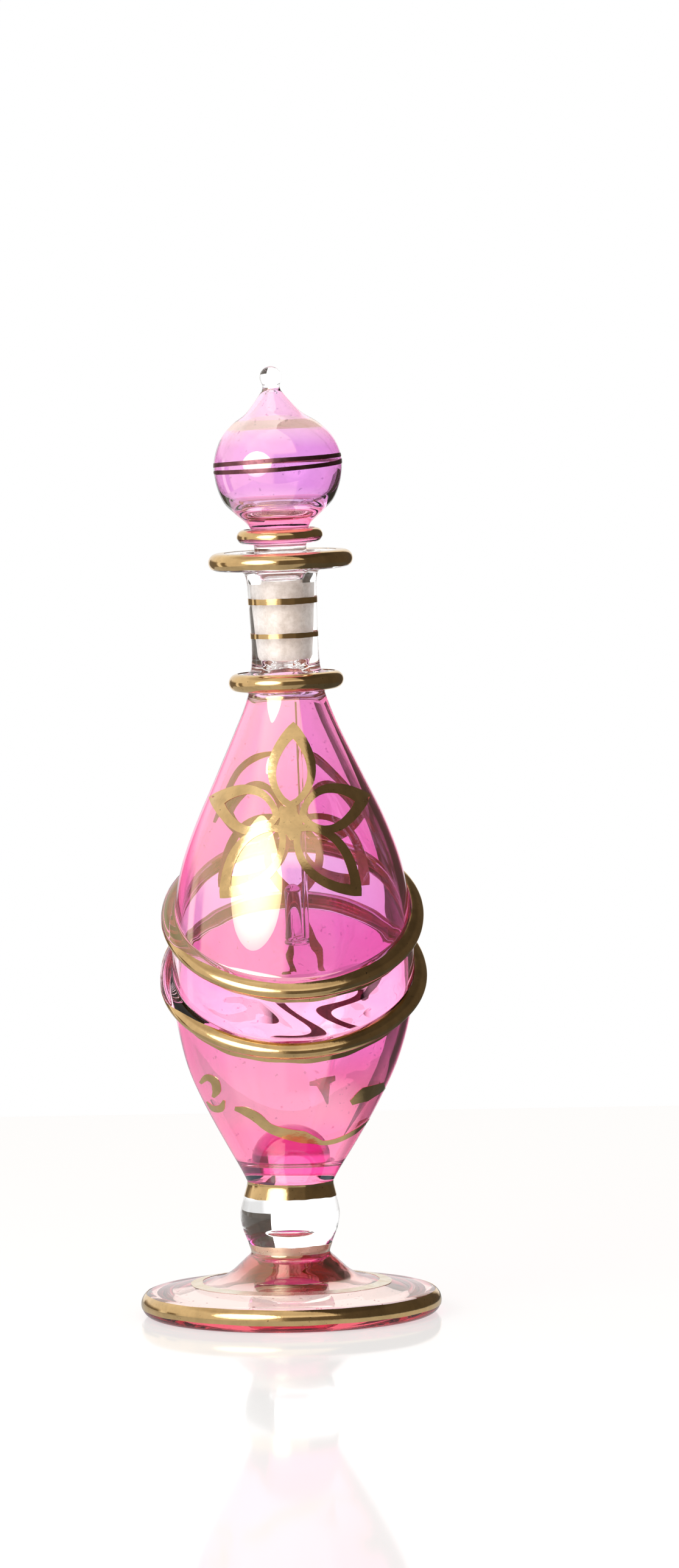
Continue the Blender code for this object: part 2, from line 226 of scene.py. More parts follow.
def ring_row(centre, angles, across, proud):
    """A row along a slanting ring, across it by a height square to its plane."""
    up = np.array([0.0, -math.sin(RING_TILT), math.cos(RING_TILT)])
    seat = slanted(centre + across / math.cos(RING_TILT), angles)
    middle = slanted(centre, angles)
    radial = np.stack([np.cos(angles), np.sin(angles), 0 * angles], axis=-1)
    out = unit(radial - (radial @ up)[:, None] * up)
    depth = ((seat - middle) * out).sum(axis=1)
    share = np.clip(0.5 + 0.5 * (proud - depth) / RING_FILLET, 0.0, 1.0)
    reach = depth + (proud - depth) * share + RING_FILLET * share * (1 - share)
    reach = np.where(proud > depth - RING_BURIED, reach, depth)
    return seat + (reach - depth)[:, None] * out


def on_axis(row):
    """Moves a row that was made about a straight axis onto the hand-made one."""
    row[:, 0] += axis_drift(row[:, 2])
    return row


def swirled(row):
    """Thickens the vessel's wall unevenly inside the rings, where the glass was worked most."""
    x, y, z = row[:, 0], row[:, 1], row[:, 2]
    level = z - math.tan(RING_TILT) * y
    share = np.exp(-(((level - 0.5 * (RING_LOW + RING_HIGH)) / 8.5) ** 2))
    wave = np.sin(0.55 * level + 1.5 * np.sin(0.3 * x) + 1.1) + 0.8 * np.sin(0.42 * x - 0.3 * z)
    fine = np.sin(1.5 * level + 2.4 * np.sin(0.42 * x + 0.5) + 0.4) * np.sin(0.55 * x + 0.35 * z)
    inward = share * smoothstep(-y, 5.0, 14.0) * (0.6 + 0.2 * wave + 0.1 * fine)
    reach = np.hypot(x - axis_drift(z), y)
    moved = row.copy()
    moved[:, 0] -= inward * (x - axis_drift(z)) / reach
    moved[:, 1] -= inward * y / reach
    return moved


def ring_section(turn):
    """(across, proud) of the oval section at a turn from the nose, in radians."""
    return RING_HALF_HEIGHT * math.sin(turn), RING_DEPTH * math.cos(turn) - RING_INSET


def hand_made(points):
    """The slow unevenness of blown glass, the same for all that lies on it."""
    x, y, z = points[..., 0], points[..., 1], points[..., 2]
    share = smoothstep(z, 12.0, 34.0) * smoothstep(-z, -158.0, -150.0)
    wave = 0.07 * share * np.sin(0.21 * z + 0.11 * x + 1.7 * np.sin(0.09 * y + 0.6))
    side = 0.06 * share * np.sin(0.17 * z - 0.13 * y + 2.1)
    moved = points.copy()
    reach = np.maximum(np.hypot(x, y), 1e-6)
    moved[..., 0] += wave * x / reach + 0.5 * side
    moved[..., 1] += wave * y / reach
    moved[..., 0] -= BULB_BEND * smoothstep(z, 146.0, 158.0)
    return moved


def add_object(name, data):
    obj = bpy.data.objects.new(name, data)
    bpy.context.scene.collection.objects.link(obj)
    return obj


def add_mesh(name, verts, faces, slots, finish_names):
    mesh = bpy.data.meshes.new(name)
    mesh.from_pydata([tuple(v) for v in np.asarray(verts) * MM], [], faces)
    for finish in finish_names:
        mesh.materials.append(finishes()[finish])
    mesh.polygons.foreach_set("material_index", slots)
    mesh.shade_smooth()
    mesh.update()
    return add_object(name, mesh)


class Turned:
    """Rows of glass about a hand-made axis, each with the slot of the band that follows it."""

    def __init__(self, steps, drift=axis_drift):
        self.angles, self.drift = full_turn(steps), drift
        self.rows, self.slots = [], []

    def row(self, row, slot):
        self.rows.append(row)
        self.slots.append(slot)

    def add(self, outline, slot):
        for row in round_axis(outline, self.angles, self.drift):
            self.row(row, slot)

    def line(self, points, spans, slot):
        self.add(smooth_line(points, spans), slot)

    def pole(self, height, slot=0):
        self.row(round_axis([(0.0, height)], self.angles[:1], self.drift)[0], slot)

    def closed(self, inside_out=False):
        verts, faces, marks = skin([hand_made(row) for row in self.rows], self.slots)
        return verts, [face[::-1] for face in faces] if inside_out else faces, marks


def skin(rows, slots):
    """Verts, faces and slots of a closed skin; a row of one point is a pole."""
    verts, faces, marks, starts = [], [], [], []
    for row in rows:
        starts.append(len(verts))
        verts.extend(row)
    for k, (low, high) in enumerate(zip(rows, rows[1:])):
        a, b = starts[k], starts[k + 1]
        count = max(len(low), len(high))
        for j in range(count):
            n = (j + 1) % count
            if len(low) == 1:
                faces.append((a, b + n, b + j))
            elif len(high) == 1:
                faces.append((a + j, a + n, b))
            else:
                faces.append((a + j, a + n, b + n, b + j))
            marks.append(slots[k])
    return verts, faces, marks


def joined(*skins):
    verts, faces, marks = [], [], []
    for more_verts, more_faces, more_marks in skins:
        base = len(verts)
        verts.extend(more_verts)
        faces.extend(tuple(i + base for i in face) for face in more_faces)
        marks.extend(more_marks)
    return verts, faces, marks


def grid_normals(grid, around):
    """Unit normals of a grid of points; around is true if its columns close up."""
    across = np.gradient(grid, axis=1)
    if around:
        across = (np.roll(grid, -1, axis=1) - np.roll(grid, 1, axis=1)) / 2
    return unit(np.cross(across, np.gradient(grid, axis=0)))


def foil(grid, around, normals=None, over=FOIL_OVER):
    """A thin closed sheet over a grid of points on the glass; its underside has slot 1."""
    normals = grid_normals(grid, around) if normals is None else normals
    count, width = grid.shape[:2]
    verts = np.concatenate([grid + normals * over, grid + normals * FOIL_UNDER]).reshape(-1, 3)
    under = count * width
    spans = width if around else width - 1
    faces = []
    for i in range(count - 1):
        for j in range(spans):
            a, b = i * width + j, i * width + (j + 1) % width
            c, d = b + width, a + width
            faces.append((a, b, c, d))
            faces.append((d + under, c + under, b + under, a + under))
    marks = [0, 1] * ((count - 1) * spans)
    last = (count - 1) * width
    edges = []
    for j in range(spans):
        edges += [(j, (j + 1) % width), (last + (j + 1) % width, last + j)]
    if not around:
        for a in range(0, last, width):
            edges += [(a + width, a), (a + width - 1, a + 2 * width - 1)]
    faces += [(b, a, a + under, b + under) for a, b in edges]
    return list(verts), faces, marks + [0] * len(edges)


def ride(obj, body, slot, *nodes):
    if nodes:
        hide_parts(*nodes)
    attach(obj, body)


def sharp_edged(obj):
    obj.data.set_sharp_from_angle(angle=math.radians(50))


def gilt(name, sheet, body="bottle", material="bright_gilding"):
    """A sheet of gold on a body, dark where it is seen through the glass."""
    obj = add_mesh(name, *sheet, (material, "gilding_underside"))
    sharp_edged(obj)
    ride(obj, body, "gilt_glass")


# Materials


def set_inputs(node, inputs):
    """Links each input to a node's output, or sets the input's own value."""
    for key, value in inputs.items():
        socket = node.inputs[key]
        if isinstance(value, bpy.types.NodeSocket):
            node.id_data.links.new(value, socket)
        else:
            socket.default_value = (*value[:3], 1.0) if socket.type == "RGBA" else value


def add_node(tree, kind, inputs=None, **settings):
    node = tree.nodes.new("ShaderNode" + kind)
    for key, value in settings.items():
        setattr(node, key, value)
    set_inputs(node, inputs or {})
    return node


def new_tree(name):
    material = bpy.data.materials.new(name)
    material.use_nodes = True
    return material.node_tree, material.node_tree.nodes["Principled BSDF"]


def surface(tree, shader):
    tree.links.new(shader, tree.nodes["Material Output"].inputs["Surface"])


def place(tree, space="Object"):
    return add_node(tree, "TexCoord").outputs[space]


def from_origin(where):
    """How far a place is from the object's origin."""
    node = add_node(where.id_data, "VectorMath", {0: where}, operation="LENGTH")
    return node.outputs["Value"]


def axes(tree, space="Object"):
    """The X, Y and Z outputs of a place, by name."""
    return add_node(tree, "SeparateXYZ", {0: place(tree, space)}).outputs


def noise(tree, scale, detail=3.0, roughness=0.6):
    inputs = {"Vector": place(tree), "Scale": scale, "Detail": detail, "Roughness": roughness}
    return add_node(tree, "TexNoise", inputs).outputs["Fac"]


def ramp(value, stops):
    """A colour ramp; each stop is a place and a colour or a grey."""
    node = add_node(value.id_data, "ValToRGB", {"Fac": value})
    marks = node.color_ramp.elements
    marks.remove(marks[1])
    marks[0].position = stops[0][0]
    for position, _ in stops[1:]:
        marks.new(position)
    for mark, (_, colour) in zip(marks, stops):
        colour = (colour,) * 3 if isinstance(colour, (int, float)) else colour
        mark.color = (*colour, 1.0)
    return node.outputs["Color"]


def rise(value, start, end):
    """A share that goes from 0 to 1 between two values."""
    return ramp(value, [(start, 0.0), (end, 1.0)])


def blend(share, first, second):
    """A colour that goes from the first to the second with a share."""
    inputs = {0: share, 6: first, 7: second}
    return add_node(share.id_data, "Mix", inputs, data_type="RGBA").outputs[2]


def choose(share, low, high):
    """A value that goes from low to high with a share."""
    inputs = {0: share, 2: low, 3: high}
    return add_node(share.id_data, "Mix", inputs, data_type="FLOAT").outputs[0]


def math_node(operation, first, second=0.0, third=None):
    inputs = {0: first, 1: second} if third is None else {0: first, 1: second, 2: third}
    return add_node(first.id_data, "Math", inputs, operation=operation).outputs[0]


def times(first, *others):
    for other in others:
        first = math_node("MULTIPLY", first, other)
    return first


def ray(tree, kind):
    return add_node(tree, "LightPath").outputs[f"Is {kind} Ray"]


def by_ray(tree, level, **levels):
    """A level that differs for the kinds of ray that are named."""
    for kind, other in levels.items():
        level = choose(ray(tree, kind), level, other)
    return level


def mixed(share, first, second):
    return add_node(share.id_data, "MixShader", {0: share, 1: first, 2: second}).outputs[0]


def glow(tree, colour, level):
    return add_node(tree, "Emission", {"Color": colour, "Strength": level}).outputs[0]


def bump(height, strength, distance):
    inputs = {"Height": height, "Strength": strength, "Distance": distance}
    return add_node(height.id_data, "Bump", inputs).outputs["Normal"]


def slant_level(where):
    """The height of a place, measured along the slant of the rings."""
    return math_node("SUBTRACT", where["Z"], times(where["Y"], math.tan(RING_TILT)))


def glass(name, shadow, lustre=0.0, rough=0.0, film_ior=2.8):
    """A glass with fine hand-blown waviness. lustre is the thickness of its fired film in nm."""
    tree, shader = new_tree(name)
    looks = {"Transmission Weight": 1.0, "IOR": 1.5, "Base Color": (1.0, 1.0, 1.0)}
    if lustre:
        share = rise(noise(tree, 24.0, 2.0, 0.5), 0.3, 0.7)
        depth = choose(share, lustre - 6, lustre + 7)
        inner = add_node(tree, "NewGeometry").outputs["Backfacing"]
        looks["Thin Film Thickness"] = choose(inner, depth, 0.0)
        looks["Thin Film IOR"] = film_ior
    if rough:
        grain = noise(tree, 1000.0, 5.0, 0.75)
        looks["Transmission Weight"] = 0.4
        looks["Base Color"] = ramp(
            grain, [(0.35, (0.72, 0.64, 0.57)), (0.62, (0.97, 0.9, 0.84))])
        looks["Roughness"] = ramp(grain, [(0.3, 0.75 * rough), (0.7, 1.2 * rough)])
        looks["Normal"] = bump(grain, 0.6, 0.0001)
    else:
        smears = noise(tree, 90.0)
        looks["Roughness"] = ramp(smears, [(0.5, 0.0), (0.8, 0.03)])
        looks["Normal"] = bump(noise(tree, 55.0, 1.0, 0.4), 0.12, 0.0006)
    set_inputs(shader, looks)
    # The lamps' light goes straight through, so that the glass casts a tinted shadow
    clear = add_node(tree, "BsdfTransparent", {"Color": shadow}).outputs["BSDF"]
    surface(tree, mixed(ray(tree, "Shadow"), shader.outputs["BSDF"], clear))
    return tree, shader


def stain_depth(tree, cloud):
    """How deep the vessel's stain is: deepest along the slanting rings, paler far from them."""
    share = times(slant_level(axes(tree)), 10.0)
    band = ramp(share, [(0.3, 0.1), (0.44, 0.7), (0.52, 1.0), (0.6, 0.7), (0.69, 1.0),
                        (0.77, 0.9), (0.88, 0.5), (1.0, 0.2)])
    return times(band, choose(cloud, 0.55, 1.25))


def foot_depth(tree, cloud):
    """How deep the foot's stain is: it gathers round the hub."""
    flat = add_node(tree, "VectorMath", {0: place(tree), 1: (1.0, 1.0, 0.0)},
                    operation="MULTIPLY").outputs["Vector"]
    share = times(from_origin(flat), 40.0)
    band = ramp(share, [(0.36, 1.0), (0.44, 0.55), (0.62, 0.1), (1.0, 0.0)])
    return times(band, choose(cloud, 0.9, 1.0))


def bulb_depth(tree, cloud):
    """How violet the bulb is: only its round middle, in clouds."""
    share = times(axes(tree)["Z"], 5.0)
    band = ramp(share, [(0.675, 0.0), (0.695, 1.0), (0.735, 1.0), (0.752, 0.0)])
    return times(band, choose(cloud, 1.0, 0.55))


def painted_streak_share(tree):
    """Where dark winding streaks are painted into the worked glass between the rings, at the front:
    a painted refraction of the rings' gold.
    """
    where = axes(tree)
    level = slant_level(where)
    bend = math_node("MULTIPLY_ADD", level, 780.0, times(where["X"], 300.0))
    bend = times(math_node("SINE", bend), 2.8)
    wave = math_node("ADD", times(where["X"], 800.0), bend)
    wave = rise(math_node("SINE", wave), 0.4, 0.6)
    ahead = rise(times(where["Y"], -50.0), 0.4, 0.7)
    aside = math_node("MULTIPLY_ADD", where["X"], 25.0, 0.5)
    aside = ramp(aside, [(0.34, 0.0), (0.46, 0.8), (0.8, 1.0), (0.88, 0.0)])
    across = math_node("MULTIPLY_ADD", level, 80.0, -80.0 * RING_LOW * MM)
    across = ramp(across, [(0.1, 0.0), (0.2, 1.0), (0.66, 1.0), (0.8, 0.0)])
    return rise(times(wave, ahead, aside, across), 0.3, 0.7)


def lustred(name, colours, shadow, lustre=0.0, depth=None, film_ior=2.8):
    """Lustred glass: a stain that clouds from one colour to the next."""
    tree, shader = glass(name, shadow, lustre, film_ior=film_ior)
    share = rise(noise(tree, 38.0, 3.0, 0.55), 0.3, 0.7)
    if depth:
        share = depth(tree, share)
    colour = blend(share, *colours)
    specks = rise(noise(tree, 900.0, 2.0, 0.5), 0.68, 0.74)
    colour = blend(specks, colour, [0.55 * c for c in colours[1]])
    set_inputs(shader, {"Base Color": colour})
    return tree, shader


def gilding(name, bright, worn, rough):
    """Fired gold: uneven in colour and polish, with fine pits."""
    tree, shader = new_tree(name)
    colour = ramp(noise(tree, 260.0), [(0.35, worn), (0.6, bright)])
    pits = rise(noise(tree, 2400.0, 2.0, 0.5), 0.7, 0.76)
    polish = noise(tree, 420.0)
    set_inputs(shader, {
        "Metallic": 1.0,
        "Base Color": blend(pits, colour, [0.3 * c for c in worn]),
        "Roughness": ramp(polish, [(0.3, 0.6 * rough), (0.75, 1.7 * rough)]),
        "Normal": bump(noise(tree, 700.0), 0.15, 0.0001),
    })
    return tree, shader


def finishes():
    """The materials by name, made once and shared by the operators."""
    if "pink_lustre" not in bpy.data.materials:
        look = bpy.context.scene.bottle_look
        make_vessel_finishes(look)
        make_other_finishes(look)
    return bpy.data.materials


def make_vessel_finishes(look):
    """The lustres of the vessel, its domed floor, the foot and the worked glass."""
    tree, shader = lustred("pink_lustre", (look.pink, look.magenta), (0.95, 0.72, 0.86), 67.0,
                           stain_depth)
    film = shader.inputs["Thin Film Thickness"].links[0].from_socket
    worn = ramp(times(axes(tree)["Z"], 10.0), [(0.32, 0.3), (0.46, 1.0)])
    set_inputs(shader, {"Thin Film Thickness": times(film, worn)})
    _, shader = lustred("foot_lustre", (look.foot, look.deep), (0.97, 0.8, 0.88), 78.0,
                        foot_depth, 2.3)
    set_inputs(shader, {"Coat Weight": 0.2, "Coat IOR": 1.6, "Coat Roughness": 0.02})
    # The hub's own deep stain, also painted as shade under the foot's rim.
    lustred("deep_lustre", (look.deep, look.deep), (0.9, 0.5, 0.7))
    tree, shader = lustred("dome_stain", (look.dome, look.dome), (0.9, 0.5, 0.7))
    haze = ramp(noise(tree, 200.0, 2.0, 0.5), [(0.3, 0.14), (0.7, 0.22)])
    set_inputs(shader, {
        "IOR": 1.2, "Coat Weight": 0.5, "Coat Roughness": 0.03, "Roughness": haze,
    })
    tree, shader = glass("clear_glass_worked", (0.98, 0.95, 0.97))
    # Painted refraction: dark winding streaks that stand for the rings' gold seen bent through the
    # glass, painted only on the front.
    painted_streaks = blend(painted_streak_share(tree), (0.98, 0.7, 0.8), (0.008, 0.0004, 0.001))
    set_inputs(shader, {"Base Color": painted_streaks})


def make_other_finishes(look):
    """The stopper's lustres, clear and ground glass, and the golds."""
    lustred("rose_lustre", (look.rose, look.rose), (0.95, 0.7, 0.8))
    lustred("violet_lustre", (look.bulb_pink, look.violet), (0.93, 0.75, 0.93), 78.0,
            bulb_depth, 2.3)
    # Painted refraction: a pale tan band round the bulb's shoulder, standing for the bright line
    # that its inner surfaces bend into view there.
    lustred("tan_lustre", ((0.78, 0.58, 0.52), (0.66, 0.44, 0.39)), (0.95, 0.85, 0.82), 40.0)
    glass("clear_glass_plain", (0.98, 0.98, 0.98))
    glass("ground_glass_satin", (0.93, 0.92, 0.9), rough=0.5)
    gilding("bright_gilding", look.gold, [0.82 * c for c in look.gold], 0.09)
    _, shader = gilding("gilding_underside", (0.5, 0.2, 0.12), (0.25, 0.09, 0.06), 0.3)
    set_inputs(shader, {"Metallic": 0.7})
    gilding("pale_gilding", (1.0, 0.93, 0.78), (1.0, 0.87, 0.68), 0.3)
    gilding("thin_gilding", look.thin_gold, [0.6 * c for c in look.thin_gold], 0.3)


# Pieces


BOTTLE_FINISHES = (
    "pink_lustre", "clear_glass_plain", "foot_lustre", "deep_lustre", "ground_glass_satin",
    "dome_stain", "clear_glass_worked",
)
PINK, CLEAR, FOOT, DEEP_AND_SHADE, GROUND, DOME, WORKED = range(7)
STOPPER_FINISHES = (
    "violet_lustre", "clear_glass_plain", "ground_glass_satin", "rose_lustre", "tan_lustre",
)
VIOLET, PLAIN, SATIN, ROSE, PAINTED_SHOULDER_LINE = range(5)


def foot_and_knop(form):
    """From the hub's underside over the foot and the knop to the vessel's base."""
    form.pole(0.8, DEEP_AND_SHADE)
    form.add(arc(5.0, 2.2, 1.4, 1.4, -90, 0, 8), DEEP_AND_SHADE)
    form.add(arc(5.0, 4.0, 1.4, 1.5, 0, 80, 8), DEEP_AND_SHADE)
    form.line([(4.2, 5.7), (3.45, 6.1), (3.4, 7.0), (3.7, 8.1), (4.6, 8.75)], 4, DEEP_AND_SHADE)
    form.line([(5.4, 8.5), (6.7, 7.4), (8.6, 5.5), (11.2, 4.2), (15.0, 3.3), (20.3, 2.0)],
              8, FOOT)
    # Painted shade: under the rim the foot takes the hub's deep stain, standing for the shadow
    # beneath the foot's edge.
    form.add([(21.4, 0.6), (21.9, 0.1), (22.4, 0.02)], DEEP_AND_SHADE)
    form.add(arc(*FOOT_RIM, -90, -8, 12), DEEP_AND_SHADE)
    form.add(arc(*FOOT_RIM, -2, 80, 14), FOOT)
    form.line([(23.3, 4.2), (18.5, 5.1), (13.0, 6.0), (10.4, 7.1), (8.1, 9.1)], 8, FOOT)
    form.line([(7.6, 9.6), (6.9, 10.2), (6.6, 10.75)], 5, FOOT)
    form.line([(6.65, 11.0), (7.15, 12.4), (8.05, 14.8), (8.4, 17.3), (7.75, 20.3),
               (7.3, 22.0)], 8, CLEAR)


def vessel_and_rings(form):
    """The outside of the vessel, with the two slanting rings drawn out of it."""
    edge = [0.05, 0.11, 0.18, 0.3, 0.8]
    margin = (RING_HALF_HEIGHT + edge[-1] + 0.5) / math.cos(RING_TILT)

    def levels(start, end, count, slot):
        for level in np.linspace(start, end, count):
            form.row(on_axis(slanted(level, form.angles)), slot)

    def ring(centre, below, above):
        sections = [(-RING_HALF_HEIGHT - e, -RING_INSET - RING_FLANK * e) for e in edge[::-1]]
        sections += [ring_section(turn) for turn in np.radians(np.linspace(-90, 90, 23))]
        sections += [(RING_HALF_HEIGHT + e, -RING_INSET - RING_FLANK * e) for e in edge]
        for across, proud in sections:
            row = ring_row(centre, form.angles, across, proud)
            form.row(on_axis(row), above if across > 0 else below)

    form.add(vessel_line(VESSEL_SIDE[0][1], SLANT_FROM, 9), PINK)
    levels(SLANT_FROM + 0.8, RING_LOW - margin, 34, PINK)
    ring(RING_LOW, PINK, WORKED)
    levels(RING_LOW + margin, RING_HIGH - margin, 7, WORKED)
    ring(RING_HIGH, WORKED, PINK)
    levels(RING_HIGH + margin, SLANT_TO, 34, PINK)
    form.add(vessel_line(SLANT_TO + 0.8, 105.4, 9), PINK)


def neck_and_lip(form):
    """From the collar up the neck, over the lip and down the ground socket to the throat."""
    form.add([(6.7, 105.8), (7.3, 106.0)], CLEAR)
    form.add(arc(*COLLAR, -85, 85, 24), CLEAR)
    form.add([(7.3, 108.8), (6.5, 108.95), (6.05, 109.2)], CLEAR)
    form.line([(5.85, 109.8), (5.7, 112.0), (5.65, 115.0), (5.7, 119.0), (5.75, 122.0),
               (5.85, 124.4), (6.2, 125.7)], 4, CLEAR)
    form.add([(6.8, 126.15), (8.4, 126.3)], CLEAR)
    form.add(arc(*LIP, -88, 88, 24), CLEAR)
    form.add([(8.6, 129.25), (6.4, 129.2), (5.7, 129.1)], CLEAR)
    form.line([(5.25, 128.7), (4.8, 127.4), (4.2, 125.8), (3.7, 124.3)], 5, CLEAR)
    form.add(np.linspace((3.6, 124.0), (3.12, 111.6), 12), GROUND)
    form.line([(2.95, 111.0), (2.75, 110.2), (2.7, 109.2), (3.0, 107.6), (3.9, 106.2),
               (4.9, 105.0)], 4, CLEAR)


def vessel_inside(form):
    """Down the inner wall, which is uneven inside the rings, and over the domed floor."""
    slope = np.gradient(SIDE_RADII, SIDE_HEIGHTS)
    away = 1 / np.hypot(1, slope)
    inside = np.stack([SIDE_RADII - VESSEL_WALL * away,
                       SIDE_HEIGHTS + VESSEL_WALL * slope * away], axis=1)[::-1]
    inside = inside[(inside[:, 1] < 104.0) & (inside[:, 1] > 26.6)]
    for row in round_axis(inside[::3], form.angles):
        form.row(swirled(row), CLEAR)
    form.add([(7.6, 26.2), (7.2, 26.0), (6.85, 26.2)], DOME)
    form.add(arc(0.0, 26.7, 6.65, 5.8, 0, 84, 16), DOME)
    form.pole(DOME_TOP)


def bottle_skin():
    """The whole bottle as one skin of glass, and the air bubble in its knop."""
    bottle = Turned(192)
    for stretch in (foot_and_knop, vessel_and_rings, neck_and_lip, vessel_inside):
        stretch(bottle)
    bubble = Turned(192)
    bubble.pole(14.2, CLEAR)
    bubble.add(arc(0.0, 14.8, 2.8, 0.6, -80, 80, 20), CLEAR)
    bubble.pole(15.4)
    return joined(bottle.closed(), bubble.closed(inside_out=True))


def stopper_skin():
    """The plug, ring, bulb and drop as one skin of glass, and the hollow of the bulb."""
    form = Turned(128, stopper_drift)
    form.pole(110.2, PLAIN)
    form.add(arc(0.0, 111.4, 2.85, 1.2, -82, 0, 10), PLAIN)
    form.add(np.linspace((2.88, 112.0), (3.33, 124.0), 12), SATIN)
    form.line([(3.4, 124.5), (3.7, 125.3), (4.15, 126.7), (4.4, 128.6), (4.4, 130.2)], 5, PLAIN)
    form.add([(4.55, 130.6), (5.1, 130.72)], PLAIN)
    form.add(arc(*STOPPER_RING, -86, 86, 18), ROSE)
    form.add([(5.2, 133.02), (5.0, 133.15)], ROSE)
    form.line([(5.0, 133.4), (5.6, 134.2), (6.6, 135.1)], 4, ROSE)
    for point in smooth_line(BULB_SIDE, 8):
        # Painted refraction: the shoulder line's band is painted pale tan.
        slot = PAINTED_SHOULDER_LINE if 149.8 < point[1] < 151.3 else VIOLET
        form.add([point], ROSE if point[1] < 136.4 else slot)
    form.add([(1.45, 156.7), (1.42, 157.0)], PLAIN)
    form.add(arc(0.0, 158.53, 1.87, 1.85, -38, 84, 16), PLAIN)
    form.pole(160.38)
    hollow = Turned(128, stopper_drift)
    hollow.pole(136.05, PLAIN)
    hollow.line(BULB_HOLLOW, 8, PLAIN)
    hollow.pole(156.4)
    return joined(form.closed(), hollow.closed(inside_out=True))


def dauber():
    """The thick tip and the thin rod beside it, fused into one piece."""
    clear = ["clear_glass_plain"]
    tip = Turned(40, stopper_drift)
    tip.pole(73.0)
    tip.add(arc(0.0, 71.6, 1.4, 1.4, 82, 0, 10), 0)
    tip.add([(1.4, 68.0), (1.4, 66.0), (1.42, 64.6), (1.5, 63.9), (1.7, 63.55)], 0)
    tip.add(arc(1.75, 63.05, 0.4, 0.45, 70, -90, 10), 0)
    tip.pole(62.6)
    for row in tip.rows:
        row[:, 0] += 0.1 - 0.45 * smoothstep(row[:, 2], 63.4, 63.9)
    part = add_mesh("dauber", *skin(tip.rows[::-1], tip.slots), clear)
    line = [(ROD_RADIUS, height) for height in np.linspace(63.2, 110.9, 24)]
    rod = round_axis(line, full_turn(24), stopper_drift)
    rod[..., 0] += ROD_OFFSET
    rows = [rod[0].mean(axis=0, keepdims=True), *rod, rod[-1].mean(axis=0, keepdims=True)]
    stock = add_mesh("dauber_rod_stock", *skin(rows, [0] * len(rows)), clear)
    union = part.modifiers.new("Fuse the rod", "BOOLEAN")
    union.operation = "UNION"
    union.object = stock
    bpy.context.view_layer.update()
    graph = bpy.context.evaluated_depsgraph_get()
    mesh = bpy.data.meshes.new_from_object(part.evaluated_get(graph))
    part.modifiers.clear()
    part.data = mesh
    bpy.data.objects.remove(stock)
    sharp_edged(part)
    ride(part, "stopper", "clear_glass", "dauber_rod", "dauber_tip")


def wavy(angles, size, seed):
    """The slight unevenness of a brushed edge."""
    waves = np.sin(3 * angles + seed) + 0.7 * np.sin(7 * angles + 2.3 * seed)
    return size * (waves + 0.5 * np.sin(17 * angles + 5.1 * seed)) / 2.2


def gilt_band(name, outline, seed, body="bottle", material="bright_gilding", rough=0.12):
    """A band of gold round a turned form, along part of its outline."""
    angles = full_turn(160)
    grid = round_axis(outline, angles, stopper_drift if body == "stopper" else axis_drift)
    for end, inner, more in ((0, 1, 0.0), (-1, -2, 1.0)):
        step = unit(grid[end] - grid[inner])
        grid[end] += step * (rough + wavy(angles, rough, seed + more))[:, None]
    gilt(name, foil(hand_made(grid), True), body, material)


def ring_gold(name, centre, seed, spread):
    """Gold on a slanting ring: fullest on the right, scant behind and on the left."""
    angles = full_turn(220)
    bare = np.exp(-(((angles - math.radians(182)) / math.radians(30)) ** 2))
    full = np.exp(-((np.sin(angles / 2) / 0.35) ** 2))
    behind = smoothstep(np.sin(angles), 0.2, 0.9)
    top = np.radians(78 + 6 * full - 92 * bare - 50 * behind)
    foot = np.radians(-90 + 35 * behind)
    rows = []
    for share in np.linspace(-0.3, 1, 23):
        turns = foot + (top - foot) * max(share, 0.0)
        turns += wavy(angles, math.radians(5), seed + 2 * share) * smoothstep(share, 0.3, 1)
        sections = np.array([ring_section(turn) for turn in turns])
        skirt = -min(share, 0.0) / 0.3 * (spread + wavy(angles, 0.3, seed + 3.0))
        skirt = skirt * (1 - behind)
        sections -= np.stack([skirt, RING_FLANK * skirt], axis=1)
        rows.append(on_axis(np.array([
            ring_row(centre, angles[j:j + 1], across, proud)[0]
            for j, (across, proud) in enumerate(sections)
        ])))
    gilt(name, foil(hand_made(np.array(rows)), True))


def bulb_line():
    """A thin dark gilt line, wound one and a half times round the bulb."""
    turns = np.linspace(-math.pi * 1.05, 2.08 * math.pi, 300)
    height = np.interp(
        turns, [-3.3, -1.57, 0.0, 1.57, 3.14, 4.71, 6.4],
        [142.9, 143.3, 144.1, 144.0, 144.1, 144.9, 145.2],
    )
    width = 0.33 * smoothstep(turns, turns[0], turns[0] + 0.5)
    width = width * smoothstep(-turns, -turns[-1], -turns[-1] + 0.5) + 0.03
    side = smooth_line(BULB_SIDE, 8)
    rows = []
    for share in np.linspace(-1, 1, 5):
        z = height + width * share
        r = np.interp(z, side[:, 1], side[:, 0])
        across = r * np.cos(turns)
        rows.append(np.stack(
            [stopper_drift(z) + across, r * np.sin(turns), z + across * LEAN], axis=-1))
    sheet = foil(hand_made(np.array(rows)), False)
    gilt("bulb_line_gilding", sheet, "stopper", "thin_gilding")


def on_vessel(grid, facing):
    """Puts flat places (across, up) onto the front or back of the vessel: points and normals."""
    x, z = grid[..., 0], grid[..., 1]
    r = vessel_radius(z)
    angle = facing + np.arcsin(np.clip(x / r, -0.995, 0.995))
    slope = (vessel_radius(z + 0.1) - vessel_radius(z - 0.1)) / 0.2
    points = np.stack([r * np.cos(angle) + axis_drift(z), r * np.sin(angle), z], axis=-1)
    normals = np.stack([np.cos(angle), np.sin(angle), -slope], axis=-1)
    return points, unit(normals)


def painted(name, grids, facing):
    """Closed gilt sheets from grids of flat places, each laid on the vessel."""
    laid = [on_vessel(grid, facing) for grid in grids]
    gilt(name, joined(*(foil(hand_made(points), False, normals, PAINT_OVER)
                        for points, normals in laid)))


